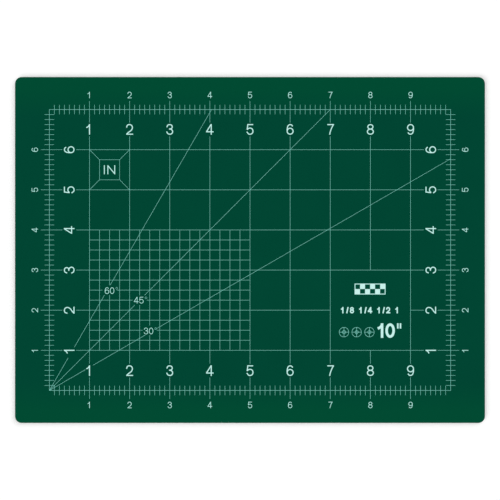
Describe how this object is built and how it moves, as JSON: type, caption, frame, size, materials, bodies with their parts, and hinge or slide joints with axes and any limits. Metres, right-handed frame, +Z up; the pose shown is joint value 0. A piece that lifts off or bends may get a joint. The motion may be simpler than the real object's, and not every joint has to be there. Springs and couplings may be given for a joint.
{
  "type": "cutting mat",
  "caption": "Flat rectangular self-healing cutting mat with rounded corners, a laminated core, and an inch ruler, grid and angle guides printed on its cutting face.",
  "frame": {"origin": "centre of the underside, midway between the four edges", "axes": "+X along the long side from the ruler's zero corner to the right, +Y along the short side away from the zero corner, +Z up out of the printed cutting face"},
  "size_m": [0.2976, 0.219, 0.003],
  "materials": {
    "skin": "fine matt grain on soft dark green vinyl",
    "cushion": "matt, die-cut edge of a softer green vinyl",
    "core": "matt, die-cut edge of a stiff off-white sheet",
    "ink": "satin screen ink, pale mint white"
  },
  "bodies": {
    "root": {"bottom_skin": "skin", "lower_cushion": "cushion", "core_sheet": "core", "upper_cushion": "cushion", "top_skin": "skin", "ruler_print": "ink", "grid_print": "ink"}
  },
  "joints": []
}
